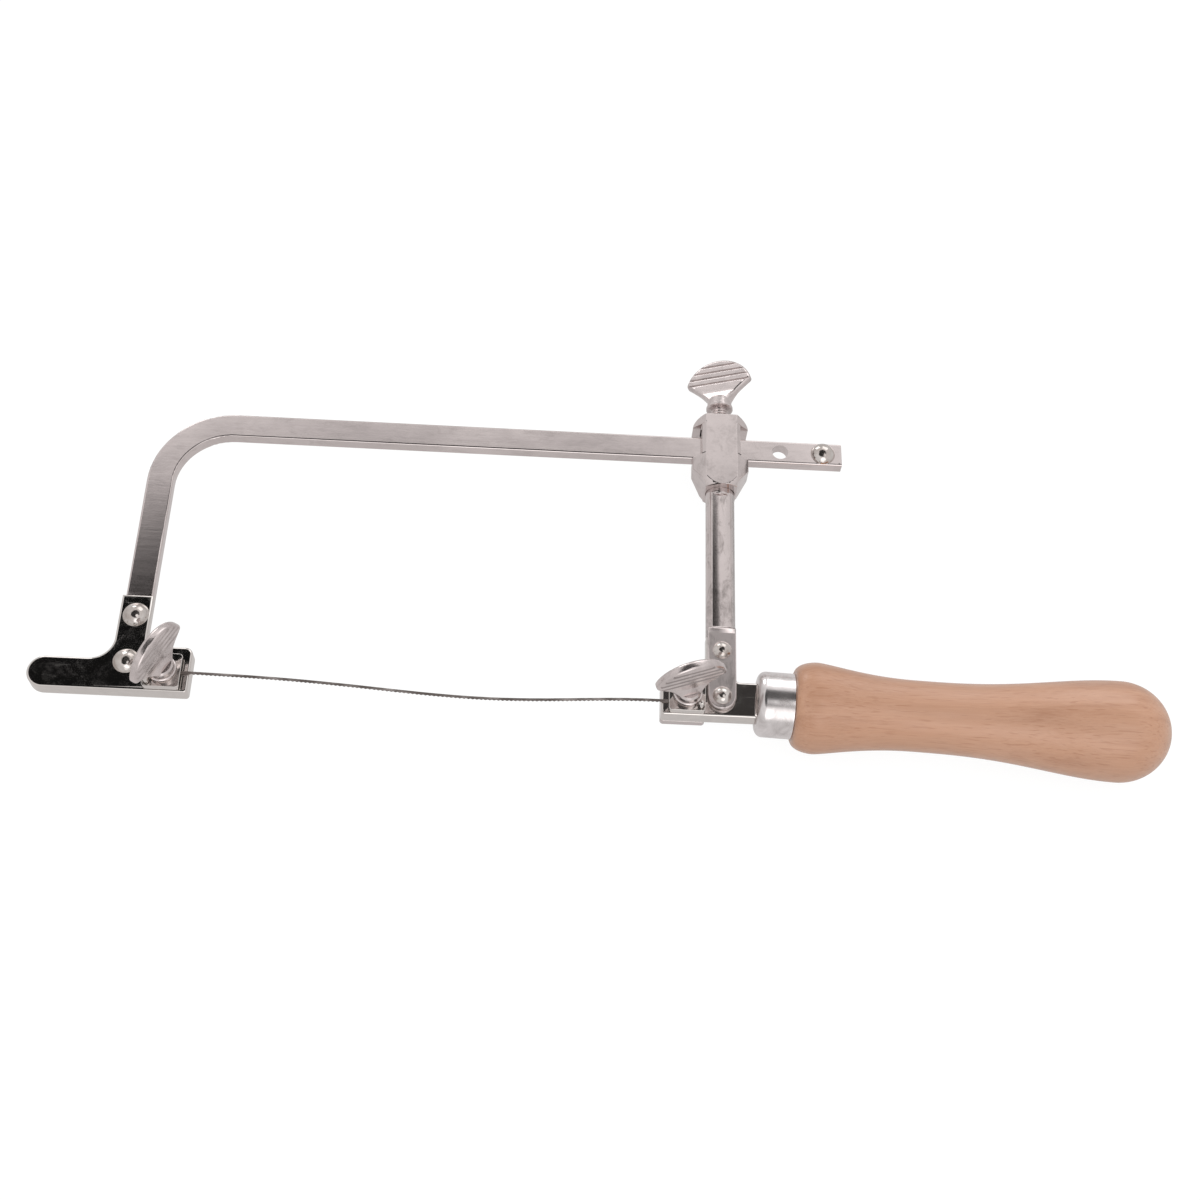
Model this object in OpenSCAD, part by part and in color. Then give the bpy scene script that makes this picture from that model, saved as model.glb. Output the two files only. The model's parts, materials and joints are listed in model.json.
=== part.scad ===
// Adjustable jeweller's fret saw: a bent flat bar slides through a clamp head on a post,
// and a thin blade is held between two jaws by thumb screws. The frame lies level.

/* [Blade] */
// Free length of the blade between the two jaws
blade_span = 110.4; // [100:0.1:120]
// Width of the blade across its teeth
blade_w = 0.7; // [0.5:0.05:0.9]
// Thickness of the blade
blade_t = 0.3; // [0.2:0.05:0.4]
// Distance from one tooth to the next
tooth_pitch = 1; // [0.8:0.1:2]
// Depth of a tooth
tooth_depth = 0.2; // [0.1:0.05:0.3]
// How far the slack blade bows away from the bar
blade_bow = 2.1; // [0.5:0.1:4]
// Length of blade held inside each jaw
blade_grip = 2.8; // [2:0.1:3]
// Height of the blade's front end above the jaws' middle line
blade_front_y = 0.3; // [-0.5:0.1:1]
// Drop of the blade's rear end below that line
blade_rear_drop = 1.3; // [0:0.1:2]

/* [Frame bar] */
// Width of the flat bar
bar_w = 6.5; // [6:0.1:7]
// Thickness of the flat bar
bar_t = 3.2; // [2.8:0.1:3.4]
// Rounding of the bar's long edges
bar_edge_r = 0.5; // [0.3:0.1:1]
// Radius of the bend, at the middle of the bar
bend_r = 17; // [12:0.5:22]
// Distance from the jaws' middle line to the middle of the bar
throat = 70; // [60:1:90]
// Length of bar behind the post's axis
bar_tail = 31; // [27:0.1:40]
// Radius of the spare stop hole
stop_hole_r = 2.05; // [1.6:0.05:2.4]
// Distance from the bar's end to the spare stop hole
stop_hole_set = 15.7; // [13:0.1:18]
// Distance from the bar's end to the stop rivet
stop_rivet_set = 4.8; // [4:0.1:6]

/* [Front foot] */
// Thickness of the foot and of the rear jaw
plate_t = 4; // [3.6:0.1:4.4]
// Distance from the middle of the bar's arm to the foot's blade end
arm_set = 14.7; // [13.5:0.1:18]
// Distance from the middle of the arm to the tip of the toe
toe_reach = 23; // [20:0.5:30]
// Width of the toe
toe_w = 8; // [7:0.1:9]
// How far the toe's lower edge lies below the jaws' middle line
toe_drop = 4.6; // [4.4:0.1:5]
// How far the foot's jaw rises above the toe
jaw_rise = 3.7; // [2.5:0.1:4]
// Width of the leg on its outer side, from the middle of the arm
leg_out_w = 4; // [3.6:0.1:4.4]
// Width of the leg on its inner side, from the middle of the arm
leg_in_w = 3.5; // [3.4:0.05:4]
// Height of the leg above the jaws' middle line
leg_h = 20.4; // [19:0.1:24]
// Radius of the fillet between toe and leg
toe_fillet_r = 5.5; // [3:0.5:7]
// Rounding of the upper corner of the foot's jaw
jaw_corner_r = 1.8; // [1:0.1:2.5]

/* [Blade clamps] */
// Distance from the foot's blade end to the front screw
screw_set = 6; // [5.8:0.1:6.3]
// Width of a clamp plate
clamp_w = 8.6; // [8.4:0.1:9]
// Thickness of a clamp plate
clamp_t = 1.8; // [1.4:0.1:2.2]
// Distance of a guide pin from its screw, along the blade and across it
pin_set = 3.15; // [3.1:0.05:3.3]
// Radius of a guide pin
pin_r = 0.7; // [0.6:0.05:0.75]
// Height of a guide pin above the jaw
pin_h = 4.6; // [4:0.1:5]
// Turn of the front wing from the blade's line, in degrees
front_turn = 62; // [0:1:90]
// Turn of the rear wing from the blade's line, in degrees
rear_turn = 19; // [0:1:90]

/* [Thumb screws] */
// Width of the wing from tip to tip
wing_w = 17; // [14:0.1:18]
// Height of a screw's head, from collar to wing top
wing_h = 15.4; // [14.8:0.1:17]
// Height of the wing's tips above the collar's underside
tip_h = 8.9; // [8.4:0.1:9.6]
// Thickness of the wing
wing_t = 2.4; // [2:0.1:3]
// Rounding of the wing's two tips
wing_tip_r = 0.9; // [0.5:0.1:1.2]
// Radius of the round neck
neck_r = 3.1; // [2.9:0.05:3.3]
// Height of the neck
neck_h = 2.2; // [2:0.1:2.8]
// Radius of the collar
collar_r = 3.4; // [3.2:0.05:3.5]
// Height of the collar
collar_h = 1; // [0.6:0.1:1.4]
// Radius of the threaded shank
screw_r = 2.4; // [2:0.05:2.5]
// Length of the shank below the collar
shank_l = 8.6; // [8.5:0.1:9]
// Rise of the thread in one turn
thread_pitch = 0.8; // [0.7:0.05:0.85]
// Number of grooves on each face of a wing
groove_n = 4; // [2:1:5]
// Distance from one groove to the next
groove_pitch = 1.75; // [1.4:0.05:1.9]
// Depth of a groove
groove_depth = 0.3; // [0.2:0.05:0.4]

/* [Slide head] */
// Width of the head over its hood
head_w = 14.1; // [13:0.1:15]
// Thickness of the head over its two flats
head_t = 11; // [10:0.1:12]
// Bevel between the head's flats and its sides
head_bevel = 3.1; // [2:0.1:3.5]
// Width of the straps that the bar runs between
strap_w = 9.7; // [8.5:0.1:10.5]
// Height of the hood's top above the middle of the bar
hood_top = 8.2; // [7.5:0.1:10]
// Half width of the hood's flat top
crown_w = 3.6; // [3.4:0.1:4]
// Depth of the head below the middle of the bar
head_drop = 12.6; // [11.5:0.1:14]
// Height of the narrowing part at the head's bottom
shoulder_h = 4.8; // [3.5:0.1:6]
// Space over the bar inside the window
window_over = 2.3; // [2.2:0.1:2.5]
// Thickness of the pressure shoe
shoe_t = 1.3; // [1.1:0.1:1.35]
// Gap between the hood and the slide screw's collar
slide_screw_gap = 4.5; // [3:0.1:4.5]
// Turn of the slide screw's wing, in degrees
slide_turn = 21; // [0:1:60]

/* [Post] */
// Radius of the post
post_r = 3.6; // [3.3:0.1:3.7]
// Distance from the post's axis to its milled flats
post_flat = 2.9; // [2.5:0.05:3.2]
// Distance from the rear jaw's blade end to the post's axis
post_set = 14.2; // [13.5:0.1:16]
// Depth of the post's end inside the head
post_seat = 4.5; // [3:0.1:5]
// Thickness of the tongue at the post's foot
tongue_t = 1.6; // [1.2:0.1:1.8]
// Radius of the tongue's round end
tongue_r = 3.4; // [3.2:0.1:3.6]

/* [Rear jaw] */
// Width of the rear jaw
jaw_w = 9.1; // [8.8:0.1:9.6]
// Height of the jaw's upright leg above the middle line
jaw_leg_h = 16.4; // [15.5:0.1:18]
// Width of the jaw's upright leg
jaw_leg_w = 7.2; // [7:0.1:8]
// Length of the nut plate
nut_l = 10.6; // [10:0.1:11]
// Thickness of the nut plate
nut_t = 2; // [1.5:0.1:2.4]
// Width of the tang inside the handle
tang_w = 6; // [5:0.1:7]
// Length of the tang inside the handle
tang_l = 46; // [30:1:60]
// Rounding of small plate corners
plate_corner_r = 0.8; // [0.4:0.1:1.2]

/* [Rivets] */
// Radius of the front rivets' and the stop rivet's domes
dome_r = 3.1; // [2.7:0.05:3.15]
// Height of those domes
dome_rise = 2.1; // [1.4:0.1:2.4]
// Radius of the rear rivets' domes
small_dome_r = 2.3; // [2:0.05:2.4]
// Height of the rear rivets' domes
small_dome_rise = 1.6; // [1.2:0.1:1.8]
// Radius of all rivet shanks
rivet_r = 1.4; // [1.2:0.1:1.6]
// Radius of all rivets' low heads behind
back_head_r = 1.85; // [1.7:0.05:1.9]
// Height of the low closing heads at the back
back_head_rise = 0.5; // [0.3:0.1:0.6]
// Height of the upper front rivet above the middle line
front_rivet_high = 15; // [14.5:0.1:15.5]
// Height of the lower front rivet above the middle line
front_rivet_low = 2.8; // [2.6:0.1:3.4]
// Height of the upper rear rivet above the middle line
rear_rivet_high = 12; // [11:0.1:13]
// Height of the lower rear rivet above the middle line
rear_rivet_low = 0.2; // [0:0.1:1]

/* [Ferrule] */
// Distance from the rear jaw's blade end to the ferrule
ferrule_set = 22.5; // [20.5:0.1:26]
// Outer radius of the ferrule
ferrule_r = 7.8; // [7.5:0.01:8.1]
// Length of the ferrule
ferrule_l = 8.7; // [7:0.1:14]
// Wall of the ferrule
ferrule_wall = 0.8; // [0.5:0.1:1]
// Rounding of the ferrule's front edge
ferrule_lip_r = 1.9; // [1:0.1:2.2]
// Thickness of the ferrule's front web
ferrule_web = 1.2; // [0.8:0.1:1.6]

/* [Handle] */
// Length of the handle behind the ferrule
handle_l = 89.7; // [80:0.1:120]
// Droop of the handle from the bar's line, in degrees
handle_droop = 2; // [0:0.5:4]
// Radius where the handle meets the ferrule
handle_face_r = 8.2; // [8.2:0.1:9]
// Radius of the handle's front bulb
bulb_r = 10.85; // [10:0.05:12]
// Distance from the ferrule to the front bulb's widest place
bulb_at = 5.4; // [4:0.1:8]
// Radius of the handle's waist
waist_r = 8.45; // [8:0.05:9.5]
// Distance from the ferrule to the waist
waist_at = 29; // [24:0.5:34]
// Radius of the handle's rear swell
swell_r = 12.05; // [11:0.05:14]
// Distance from the handle's end to the rear swell
swell_from_end = 12.4; // [10:0.1:14]

/* [Fits] */
// Gap all round a shank in its tapped hole
thread_gap = 0.05; // [0.02:0.01:0.1]
// Gap all round a guide pin in its clamp plate
pin_gap = 0.08; // [0.03:0.01:0.1]
// Gap all round a shank in its clamp plate
clamp_gap = 0.15; // [0.1:0.05:0.3]
// Gap between the bar and each side of its window
slide_gap = 0.1; // [0.05:0.01:0.15]
// Gap between faces that press together when a screw is done up
face_gap = 0.03; // [0.02:0.01:0.05]
// Gap between two fixed pieces, one inside the other
seat_gap = 0.02; // [0.01:0.01:0.05]
// Gap all round the tang in the handle
tang_gap = 0.15; // [0.1:0.05:0.3]

/* [Hidden] */
$fn = 64;
overrun = 1;
arc_step = 15;

// Places along the saw: x from the middle of the arm, y from the jaws' middle line to the bar,
// z from the middle of the bar's thickness
foot_end_x = arm_set;
front_screw_x = foot_end_x - screw_set;
rear_jaw_x = foot_end_x + blade_span;
rear_screw_x = rear_jaw_x + screw_set;
post_x = rear_jaw_x + post_set;
bar_end_x = post_x + bar_tail;
stop_hole_x = bar_end_x - stop_hole_set;
stop_rivet_x = bar_end_x - stop_rivet_set;
ferrule_x = rear_jaw_x + ferrule_set;
handle_x = ferrule_x + ferrule_l;
swell_from_ferrule = ferrule_l + handle_l - swell_from_end;

// Heights of the foot
toe_low_y = -toe_drop;
toe_top_y = toe_w - toe_drop;
jaw_top_y = toe_top_y + jaw_rise;
low_rivet_shift = 0.4;
tongue_low_y = front_rivet_low - bar_w / 2;

// Heights of the clamps over the jaws
jaw_face_z = plate_t / 2;
clamp_z = jaw_face_z + blade_t;
collar_z = clamp_z + clamp_t + face_gap;
nut_bottom_z = -jaw_face_z - nut_t;
tapped_r = screw_r + thread_gap;

// The window in the head, the shoe in it and the slide screw's tip
window_low_y = throat - bar_w / 2 - slide_gap;
window_top_y = throat + bar_w / 2 + window_over;
hood_top_y = throat + hood_top;
head_bottom_y = throat - head_drop;
shoe_low_y = throat + bar_w / 2 + face_gap;
shoe_l = strap_w - 2 * slide_gap;
shoe_w = bar_t - 2 * slide_gap;
slide_collar_y = hood_top_y + slide_screw_gap;
slide_tip_y = shoe_low_y + shoe_t + face_gap;

// The saw's box, for placing the origin under its middle
tail_reach = swell_from_ferrule * cos(handle_droop) + swell_from_end;
high_x = ferrule_x + tail_reach;
low_y = -swell_from_ferrule * sin(handle_droop) - swell_r;
high_y = slide_collar_y + wing_h;
mid_x = (high_x - toe_reach) / 2;
mid_y = (high_y + low_y) / 2;

// Puts the origin under the middle of the saw's box
module place() {
    translate([-mid_x, -mid_y, swell_r]) children();
}

// Tilts what sits on the tang, about the ferrule's front
module droop() {
    translate([ferrule_x, 0, 0]) rotate([0, 0, -handle_droop]) children();
}

module along_x() {
    rotate([0, 90, 0]) children();
}

module along_y() {
    rotate([-90, 0, 0]) children();
}

// The points of a right-hand side in backward order, mirrored to the left
function mirrored(side) = [for (i = [len(side) - 1 : -1 : 0]) [-side[i][0], side[i][1]]];

// Rectangle with round corners, centred
module round_rect(w, h, r) {
    square([w - 2 * r, h], center = true);
    square([w, h - 2 * r], center = true);
    for (sx = [-1, 1], sy = [-1, 1]) {
        translate([sx * (w / 2 - r), sy * (h / 2 - r)]) circle(r);
    }
}

// Rectangle from one corner, with its far upper corner rounded
module corner_rect(w, h, r) {
    square([w - r, h]);
    square([w, h - r]);
    translate([w - r, h - r]) circle(r);
}

// Filler of an inner corner at the origin, towards +x +y
module fillet(r) {
    difference() {
        translate([-overrun, -overrun]) square(r + overrun);
        translate([r, r]) circle(r);
    }
}

// Upper part of a ball, standing on z = 0
module dome(base_r, rise) {
    ball_r = (base_r * base_r + rise * rise) / (2 * rise);
    intersection() {
        translate([0, 0, rise - ball_r]) sphere(ball_r);
        cylinder(h = rise + overrun, r = base_r);
    }
}

// Rivet through a stack from z_low to z_high, with a dome in front and a low head behind
module rivet(z_low, z_high, base_r, rise) {
    translate([0, 0, z_low]) cylinder(h = z_high - z_low, r = rivet_r);
    translate([0, 0, z_high]) dome(base_r, rise);
    translate([0, 0, z_low]) mirror([0, 0, 1]) dome(back_head_r, back_head_rise);
}

module front_rivet_places() {
    translate([0, front_rivet_high, 0]) children();
    translate([-low_rivet_shift, front_rivet_low, 0]) children();
}

module rear_rivet_places() {
    for (y = [rear_rivet_low, rear_rivet_high]) {
        translate([post_x, y, 0]) children();
    }
}

module rivet_hole() {
    cylinder(h = 4 * plate_t, r = rivet_r + seat_gap, center = true);
}

module tapped_hole() {
    cylinder(h = 4 * plate_t, r = tapped_r, center = true);
}

module bar_section() {
    round_rect(bar_w, bar_t, bar_edge_r);
}

module frame_bar() {
    color("silver") place() difference() {
        union() {
            translate([bend_r, throat, 0]) along_x() {
                linear_extrude(bar_end_x - bend_r) rotate(90) bar_section();
            }
            translate([bend_r, throat - bend_r, 0]) rotate([0, 0, 90]) {
                rotate_extrude(angle = 90) translate([bend_r, 0]) bar_section();
            }
            translate([0, leg_h, 0]) along_y() linear_extrude(throat - bend_r - leg_h) bar_section();
            lap_tongue(0);
        }
        translate([stop_hole_x, throat, 0]) cylinder(h = 2 * bar_t, r = stop_hole_r, center = true);
        translate([stop_rivet_x, throat, 0]) rivet_hole();
        front_rivet_places() rivet_hole();
    }
}

// Back half of the bar's end, let into the foot; the gap widens it to cut its pocket
module lap_tongue(gap) {
    half_w = bar_w / 2 + gap;
    translate([0, 0, -bar_t / 2 - gap]) linear_extrude(bar_t / 2 + 2 * gap - seat_gap) {
        translate([0, front_rivet_low]) circle(half_w);
        translate([-half_w, front_rivet_low]) square([2 * half_w, leg_h - front_rivet_low]);
    }
}

// Outline of the foot: round toe, jaw with rounded corners, and the leg over the bar
module foot_outline() {
    toe_r = toe_w / 2;
    translate([toe_r - toe_reach, toe_low_y + toe_r]) circle(toe_r);
    translate([toe_r - toe_reach, toe_low_y]) {
        square([toe_reach - toe_r + foot_end_x - plate_corner_r, toe_w]);
    }
    translate([0, toe_low_y + plate_corner_r]) {
        corner_rect(foot_end_x, jaw_top_y - toe_low_y - plate_corner_r, jaw_corner_r);
    }
    translate([foot_end_x - plate_corner_r, toe_low_y + plate_corner_r]) circle(plate_corner_r);
    translate([-leg_out_w, 0]) square([leg_out_w + leg_in_w, leg_h]);
    translate([-leg_out_w, toe_top_y]) mirror([1, 0]) fillet(toe_fillet_r);
    translate([leg_in_w, jaw_top_y]) fillet(jaw_corner_r);
}

module front_foot() {
    lap_from_y = toe_top_y + toe_fillet_r;
    color("gainsboro") place() difference() {
        translate([0, 0, -jaw_face_z]) linear_extrude(plate_t) foot_outline();
        translate([0, 0, -bar_t / 2]) lap_tongue(seat_gap);
        lap_tongue(seat_gap);
        translate([-toe_reach, lap_from_y, -plate_t - seat_gap]) {
            cube([2 * toe_reach, leg_h, plate_t]);
        }
        translate([front_screw_x, 0, 0]) tapped_hole();
        translate([front_screw_x - pin_set, -pin_set, -jaw_face_z / 2]) cylinder(h = plate_t, r = pin_r);
        front_rivet_places() rivet_hole();
    }
}

module front_rivets() {
    color("whitesmoke") place() front_rivet_places() {
        rivet(-bar_t / 2, jaw_face_z, dome_r, dome_rise);
    }
}

module stop_rivet() {
    color("whitesmoke") place() translate([stop_rivet_x, throat, 0]) {
        rivet(-bar_t / 2, bar_t / 2, dome_r, dome_rise);
    }
}

// Pin standing in a jaw, with a rounded top
module guide_pin() {
    pin_length = jaw_face_z / 2 + jaw_face_z + pin_h - pin_r;
    cylinder(h = pin_length, r = pin_r);
    translate([0, 0, pin_length]) sphere(pin_r);
}

module front_guide_pin() {
    color("whitesmoke") place() translate([front_screw_x - pin_set, -pin_set, -jaw_face_z / 2]) guide_pin();
}

module rear_guide_pin() {
    color("whitesmoke") place() translate([rear_screw_x + pin_set, -pin_set, -jaw_face_z / 2]) guide_pin();
}

// Square clamp plate with a hole for the shank and one for the guide pin on the given side
module clamp_plate(side) {
    difference() {
        translate([0, 0, clamp_z]) linear_extrude(clamp_t) round_rect(clamp_w, clamp_w, plate_corner_r);
        cylinder(h = 2 * collar_z, r = screw_r + clamp_gap);
        translate([side * pin_set, -pin_set, 0]) cylinder(h = 2 * collar_z, r = pin_r + pin_gap);
    }
}

module front_clamp_plate() {
    color("gainsboro") place() translate([front_screw_x, 0, 0]) clamp_plate(-1);
}

module rear_clamp_plate() {
    color("gainsboro") place() translate([rear_screw_x, 0, 0]) clamp_plate(1);
}

// Spade outline: flanks that flare out in an arc from the neck, and a round top between two tips
module wing_outline() {
    half_w = wing_w / 2;
    crown_h = wing_h - tip_h;
    crown_r = (half_w * half_w + crown_h * crown_h) / (2 * crown_h);
    flare_end = 70;
    flare_h = tip_h - wing_tip_r - neck_h;
    start_w = neck_r * 0.85;
    flare_w = half_w - wing_tip_r / 2 - start_w;
    side = concat(
        [for (a = [0 : flare_end / 5 : flare_end])
            [start_w + flare_w * (1 - cos(a)) / (1 - cos(flare_end)), neck_h + flare_h * sin(a) / sin(flare_end)]],
        [[wing_w, tip_h], [wing_w, wing_h + overrun]]);
    intersection() {
        translate([0, wing_h - crown_r]) circle(crown_r);
        polygon(concat(side, mirrored(side)));
    }
}

// Wing standing in the XZ plane, thinning from the neck to its flat faces
module wing() {
    foot_t = neck_r * 0.8;
    thin_from_h = wing_h * 0.34;
    intersection() {
        translate([0, neck_r, 0]) rotate([90, 0, 0]) linear_extrude(2 * neck_r) wing_outline();
        translate([0, 0, neck_h - overrun]) cylinder(h = wing_h, r1 = neck_r - overrun, r2 = neck_r + wing_h - overrun);
        translate([-wing_w, 0, 0]) along_x() linear_extrude(2 * wing_w) polygon([
            [overrun - neck_h, -foot_t],
            [overrun - neck_h, foot_t],
            [-thin_from_h, wing_t / 2],
            [-wing_h - overrun, wing_t / 2],
            [-wing_h - overrun, -wing_t / 2],
            [-thin_from_h, -wing_t / 2]
        ]);
    }
}

// Row of V grooves across one face of the wing, each a square bar on its edge
module grooves() {
    first_h = wing_h - groove_pitch * 1.4;
    side = groove_depth * sqrt(2);
    for (i = [0 : groove_n - 1]) {
        translate([0, wing_t / 2, first_h - i * groove_pitch]) rotate([45, 0, 0]) {
            cube([2 * wing_w, side, side], center = true);
        }
    }
}

// Thumb screw with its collar's underside on z = 0 and its shank below
module thumb_screw(shank) {
    neck_top = neck_h + collar_h;
    difference() {
        union() {
            wing();
            cylinder(h = neck_top, r = neck_r);
            cylinder(h = collar_h, r = collar_r);
        }
        grooves();
        mirror([0, 1, 0]) grooves();
    }
    translate([0, 0, -shank]) cylinder(h = shank + collar_h, r = screw_r);
}

module front_thumb_screw() {
    color("lightgray") place() translate([front_screw_x, 0, collar_z]) rotate([0, 0, front_turn]) {
        thumb_screw(shank_l);
    }
}

module rear_thumb_screw() {
    color("lightgray") place() translate([rear_screw_x, 0, collar_z]) rotate([0, 0, rear_turn]) {
        thumb_screw(shank_l);
    }
}

module slide_thumb_screw() {
    color("lightgray") place() translate([post_x, slide_collar_y, 0]) along_y() rotate([0, 0, -slide_turn]) {
        thumb_screw(slide_collar_y - slide_tip_y);
    }
}

module pressure_shoe() {
    color("darkgray") place() translate([post_x - shoe_l / 2, shoe_low_y, -shoe_w / 2]) {
        cube([shoe_l, shoe_t, shoe_w]);
    }
}

// Height of the blade's middle line at a share of its free length; the bow is steeper at the rear
function blade_y(share) =
    let (
        bow_skew = 1.4,
        wave = sin(180 * pow(share, bow_skew))
    )
    blade_front_y - (blade_front_y + blade_rear_drop) * share - blade_bow * wave * wave;

// Four corners of the blade's section; every second section is cut back by the tooth
function blade_ring(x, share, cut) =
    let (y = blade_y(share)) [
        [x, y - blade_w / 2 + cut, jaw_face_z],
        [x, y + blade_w / 2, jaw_face_z],
        [x, y + blade_w / 2, clamp_z],
        [x, y - blade_w / 2 + cut, clamp_z]
    ];

// Toothed strip from jaw to jaw, with its teeth pointing away from the bar
module blade_strip() {
    step_count = 2 * floor(blade_span / tooth_pitch);
    toothed = [for (i = [0 : step_count])
        let (share = i / step_count)
        blade_ring(foot_end_x + blade_span * share, share, i % 2 == 0 ? 0 : tooth_depth)];
    rings = concat(
        [blade_ring(foot_end_x - blade_grip, 0, 0)],
        toothed,
        [blade_ring(rear_jaw_x + blade_grip, 1, 0)]);
    last = len(rings) - 1;
    points = [for (ring = rings) for (point = ring) point];
    sides = [for (i = [0 : last - 1]) for (k = [0 : 3])
        let (a = 4 * i + k, b = 4 * i + (k + 1) % 4)
        each [[a, b, b + 4], [a, b + 4, a + 4]]];
    polyhedron(points, concat(
        [[0, 3, 2], [0, 2, 1]],
        sides,
        [[4 * last, 4 * last + 1, 4 * last + 2], [4 * last, 4 * last + 2, 4 * last + 3]]));
}

module blade() {
    color("dimgray") place() blade_strip();
}

// Bevelled section of the head across the post's axis
module head_plan(width, depth, bevel) {
    half_w = width / 2;
    half_t = depth / 2;
    polygon([
        [half_w, half_t - bevel],
        [half_w - bevel, half_t],
        [bevel - half_w, half_t],
        [-half_w, half_t - bevel],
        [-half_w, bevel - half_t],
        [bevel - half_w, -half_t],
        [half_w - bevel, -half_t],
        [half_w, bevel - half_t]
    ]);
}

// Front view of the head: hood with round shoulders, sides, and a narrowing foot
module head_front() {
    half_w = head_w / 2;
    hood_h = hood_top_y - window_top_y;
    low_h = post_r / 2;
    foot_w = post_r + seat_gap + low_h / 4;
    side = concat(
        [for (a = [90 : -arc_step : 0])
            [crown_w + (half_w - crown_w) * cos(a), window_top_y + hood_h * sin(a)]],
        [[half_w, head_bottom_y + shoulder_h + low_h / 2],
         [foot_w, head_bottom_y + low_h / 2],
         [foot_w, head_bottom_y]]);
    polygon(concat(side, mirrored(side)));
}

// Cone that gives the front facet its pointed lower end
module head_cone() {
    top_r = head_w;
    low_r = head_t / 2;
    cone_slope = shoulder_h * 2;
    rotate_extrude() polygon([
        [0, 0],
        [low_r, 0],
        [top_r, cone_slope * (top_r - low_r) / low_r],
        [top_r, head_drop + hood_top + overrun],
        [0, head_drop + hood_top + overrun]
    ]);
}

module slide_head() {
    window_h = window_top_y - window_low_y;
    strap_bevel = strap_w / 10;
    color("lightgray") place() translate([post_x, 0, 0]) difference() {
        intersection() {
            translate([0, 0, -head_t]) linear_extrude(2 * head_t) head_front();
            translate([0, head_bottom_y, 0]) along_y() {
                linear_extrude(head_drop + hood_top) head_plan(head_w, head_t, head_bevel);
            }
            translate([0, head_bottom_y, 0]) along_y() head_cone();
        }
        translate([0, window_low_y, 0]) along_y() linear_extrude(window_h) difference() {
            square([2 * head_w, 2 * head_t], center = true);
            head_plan(strap_w, head_t, strap_bevel);
        }
        translate([-head_w, window_low_y, -bar_t / 2 - slide_gap]) {
            cube([2 * head_w, window_h, bar_t + 2 * slide_gap]);
        }
        translate([0, throat, 0]) along_y() cylinder(h = hood_top + overrun, r = tapped_r);
        translate([0, head_bottom_y - overrun, 0]) along_y() {
            cylinder(h = post_seat + overrun, r = post_r + seat_gap);
        }
    }
}

// Round post with two milled flats; at its foot a tongue laps the front of the rear jaw
module post() {
    post_low_y = jaw_leg_h + seat_gap;
    post_top_y = head_bottom_y + post_seat - seat_gap;
    flat_low_y = post_low_y + post_r / 2;
    flat_h = head_bottom_y - post_r / 2 - flat_low_y;
    color("gainsboro") place() translate([post_x, 0, 0]) difference() {
        union() {
            difference() {
                translate([0, post_low_y, 0]) along_y() cylinder(h = post_top_y - post_low_y, r = post_r);
                for (side = [-1, 1]) {
                    translate([-post_r, flat_low_y, side * (post_flat + post_r) - post_r]) {
                        cube([2 * post_r, flat_h, 2 * post_r]);
                    }
                }
            }
            translate([0, 0, jaw_face_z + seat_gap]) linear_extrude(tongue_t - seat_gap) {
                translate([0, rear_rivet_low]) circle(tongue_r);
                translate([-tongue_r, rear_rivet_low]) square([2 * tongue_r, flat_low_y - rear_rivet_low]);
            }
        }
        for (y = [rear_rivet_low, rear_rivet_high]) {
            translate([0, y, 0]) rivet_hole();
        }
    }
}

// Outline of the rear jaw with its upright leg
module jaw_outline() {
    jaw_l = ferrule_set + ferrule_web;
    translate([rear_jaw_x + jaw_l / 2, 0]) round_rect(jaw_l, jaw_w, plate_corner_r);
    translate([post_x - jaw_leg_w / 2, 0]) square([jaw_leg_w, jaw_leg_h]);
    translate([post_x + jaw_leg_w / 2, jaw_w / 2]) fillet(plate_corner_r);
    translate([post_x - jaw_leg_w / 2, jaw_w / 2]) mirror([1, 0]) fillet(plate_corner_r);
}

// Outline of the tang, from the ferrule's front to its narrowed end inside the handle
module tang_outline() {
    tip_share = 0.4;
    polygon([
        [0, -tang_w / 2],
        [tang_l * (1 - tip_share), -tang_w / 2],
        [tang_l, -tang_w * tip_share / 2],
        [tang_l, tang_w * tip_share / 2],
        [tang_l * (1 - tip_share), tang_w / 2],
        [0, tang_w / 2]
    ]);
}

module rear_jaw() {
    color("gainsboro") place() difference() {
        translate([0, 0, -jaw_face_z]) linear_extrude(plate_t) {
            jaw_outline();
            droop() tang_outline();
        }
        translate([rear_screw_x, 0, 0]) tapped_hole();
        translate([rear_screw_x + pin_set, -pin_set, -jaw_face_z / 2]) cylinder(h = plate_t, r = pin_r);
        rear_rivet_places() rivet_hole();
    }
}

module rear_nut_plate() {
    color("gainsboro") place() difference() {
        translate([rear_jaw_x + nut_l / 2, 0, nut_bottom_z]) {
            linear_extrude(nut_t) round_rect(nut_l, jaw_w, plate_corner_r);
        }
        translate([rear_screw_x, 0, 0]) tapped_hole();
    }
}

module rear_rivets() {
    color("whitesmoke") place() rear_rivet_places() {
        rivet(-jaw_face_z, jaw_face_z + tongue_t, small_dome_r, small_dome_rise);
    }
}

// Turned cap with a rounded front edge and a round mouth for the jaw
module ferrule() {
    mouth_r = norm([jaw_w / 2, jaw_face_z]) + tang_gap;
    inner_r = ferrule_r - ferrule_wall;
    color("whitesmoke") place() droop() along_x() rotate_extrude() polygon(concat(
        [[mouth_r, 0]],
        [for (a = [0 : arc_step : 90])
            [ferrule_r - ferrule_lip_r + ferrule_lip_r * sin(a), ferrule_lip_r - ferrule_lip_r * cos(a)]],
        [[ferrule_r, ferrule_l], [inner_r, ferrule_l], [inner_r, ferrule_web], [mouth_r, ferrule_web]]));
}

// Easing from 0 to 1 that starts and ends level
function ease(share) = (1 - cos(180 * share)) / 2;

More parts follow.
